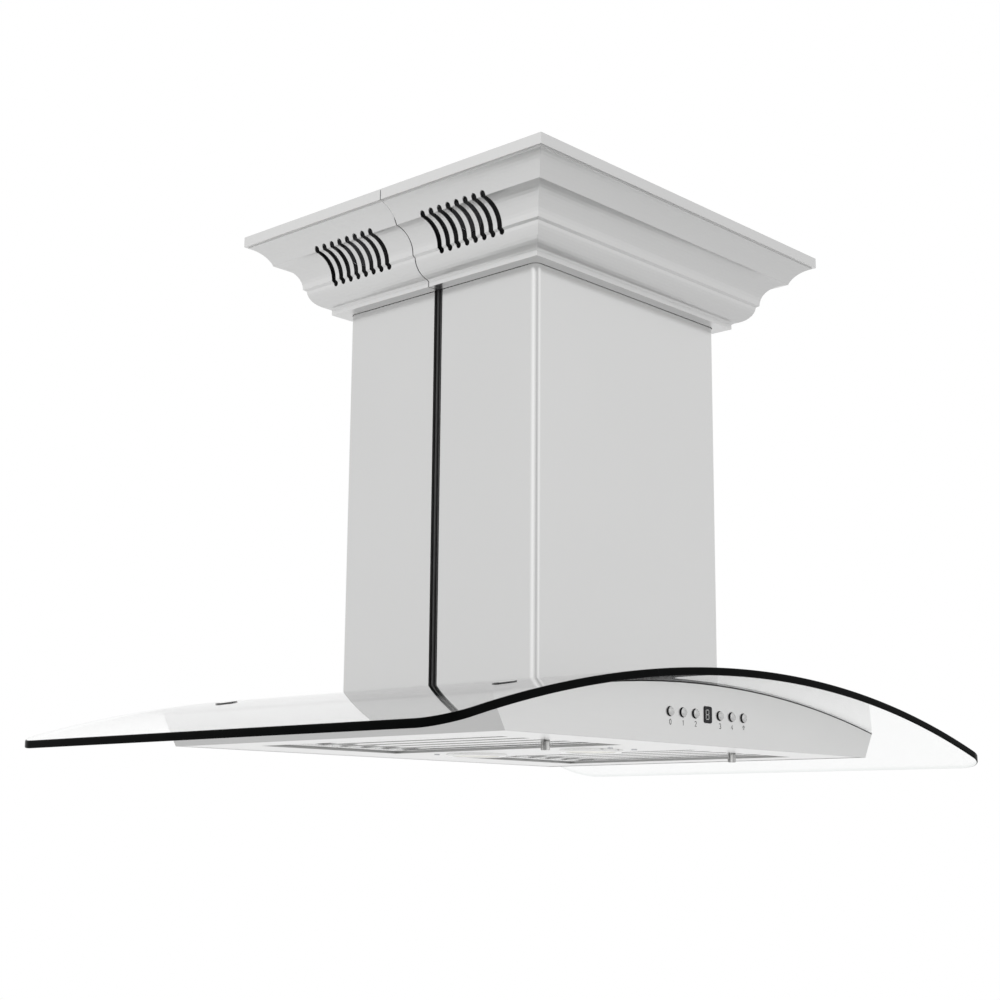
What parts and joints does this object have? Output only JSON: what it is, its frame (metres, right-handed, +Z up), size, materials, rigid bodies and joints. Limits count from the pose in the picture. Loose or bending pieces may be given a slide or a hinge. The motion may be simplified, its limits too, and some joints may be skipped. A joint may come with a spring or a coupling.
{
  "type": "island range hood",
  "caption": "Island range hood with a bent glass canopy, boxed steel chimney, stepped crown moulding with speaker slots, baffle filters and push buttons.",
  "frame": {"origin": "centre of the four ceiling screw slots, on the ceiling plate's top face, where the hood meets the ceiling", "axes": "+Z up into the ceiling, +X to the right along the wide side, -Y towards the front with the buttons"},
  "size_m": [0.9, 0.614, 0.5838],
  "materials": {
    "clear_glass": "clear tempered glass, polished edges",
    "black_rubber": "matt black extruded rubber",
    "brushed_steel": "fine brushed stainless steel",
    "filter_steel": "satin stainless steel",
    "polished_steel": "polished",
    "zinc_plate": "zinc plated sheet",
    "lamp_diffuser": "frosted, warm white",
    "cast_aluminium": "as cast",
    "white_plastic": "moulded",
    "display_plastic": "glossy smoked window",
    "circuit_board": "solder mask",
    "black_plastic": "moulded",
    "motor_paint": "black enamel",
    "speaker_paper": "pressed paper cone"
  },
  "bodies": {
    "hood": {"glass_canopy": "clear_glass", "glass_gasket": "black_rubber", "glass_screws": "zinc_plate", "glass_caps": "polished_steel", "canopy_shell": "brushed_steel", "canopy_top": "brushed_steel", "bottom_pan": "brushed_steel", "pan_screws": "zinc_plate", "filter_brackets": "zinc_plate", "lamp_bezels": "polished_steel", "lamp_lenses": "lamp_diffuser", "lamp_cans": "cast_aluminium", "lamp_driver": "white_plastic", "display_window": "display_plastic", "button_guide": "white_plastic", "control_board": "circuit_board", "button_switches": "black_plastic", "board_standoffs": "zinc_plate", "blower_box": "zinc_plate", "blower_screws": "zinc_plate", "blower_scroll": "black_plastic", "motor_body": "motor_paint", "motor_bracket": "zinc_plate", "outlet_collar": "zinc_plate", "damper_rod": "polished_steel", "capacitor": "white_plastic", "terminal_box": "zinc_plate", "terminal_box_cover": "zinc_plate", "cable_gland": "black_plastic", "chimney_front": "brushed_steel", "chimney_rear": "brushed_steel", "left_seam_strip": "black_rubber", "right_seam_strip": "black_rubber", "chimney_clips": "zinc_plate", "crown_front": "brushed_steel", "crown_rear": "brushed_steel", "crown_joiners": "zinc_plate", "speaker_plates": "black_plastic", "speaker_frames": "zinc_plate", "speaker_cones": "speaker_paper", "amplifier": "black_plastic", "ceiling_plate": "zinc_plate", "frame_posts": "zinc_plate", "frame_bolts": "zinc_plate"},
    "left_filter": {"left_filter_frame": "filter_steel", "left_filter_baffles": "filter_steel", "left_filter_knob": "polished_steel"},
    "right_filter": {"right_filter_frame": "filter_steel", "right_filter_baffles": "filter_steel", "right_filter_knob": "polished_steel"},
    "wheel": {"blower_wheel": "black_plastic", "motor_shaft": "polished_steel"},
    "front_flap": {"front_damper_flap": "zinc_plate"},
    "rear_flap": {"rear_damper_flap": "zinc_plate"},
    "button_0": {"button_0": "polished_steel"},
    "button_1": {"button_1": "polished_steel"},
    "button_2": {"button_2": "polished_steel"},
    "button_3": {"button_3": "polished_steel"},
    "button_4": {"button_4": "polished_steel"},
    "button_light": {"button_light": "polished_steel"}
  },
  "joints": [
    {"name": "button_0_press", "type": "slide", "parent": "hood", "child": "button_0", "axis": [0, 1, 0], "range_m": [0, 0.0015], "stiffness_N_per_m": 300},
    {"name": "button_1_press", "type": "slide", "parent": "hood", "child": "button_1", "axis": [0, 1, 0], "range_m": [0, 0.0015], "stiffness_N_per_m": 300},
    {"name": "button_2_press", "type": "slide", "parent": "hood", "child": "button_2", "axis": [0, 1, 0], "range_m": [0, 0.0015], "stiffness_N_per_m": 300},
    {"name": "button_3_press", "type": "slide", "parent": "hood", "child": "button_3", "axis": [0, 1, 0], "range_m": [0, 0.0015], "stiffness_N_per_m": 300},
    {"name": "button_4_press", "type": "slide", "parent": "hood", "child": "button_4", "axis": [0, 1, 0], "range_m": [0, 0.0015], "stiffness_N_per_m": 300},
    {"name": "button_light_press", "type": "slide", "parent": "hood", "child": "button_light", "axis": [0, 1, 0], "range_m": [0, 0.0015], "stiffness_N_per_m": 300},
    {"name": "left_filter_swing", "type": "hinge", "parent": "hood", "child": "left_filter", "pos_m": [-0.152, 0.151, -0.5694], "axis": [1, 0, 0], "range_deg": [0, 75]},
    {"name": "right_filter_swing", "type": "hinge", "parent": "hood", "child": "right_filter", "pos_m": [0.152, 0.151, -0.5694], "axis": [1, 0, 0], "range_deg": [0, 75]},
    {"name": "wheel_spin", "type": "hinge", "parent": "hood", "child": "wheel", "pos_m": [0, 0, -0.399], "axis": [1, 0, 0], "continuous": true},
    {"name": "front_flap_swing", "type": "hinge", "parent": "hood", "child": "front_flap", "pos_m": [0, 0, -0.225], "axis": [-1, 0, 0], "range_deg": [0, 75]},
    {"name": "rear_flap_swing", "type": "hinge", "parent": "hood", "child": "rear_flap", "pos_m": [0, 0, -0.225], "axis": [1, 0, 0], "range_deg": [0, 75]}
  ]
}
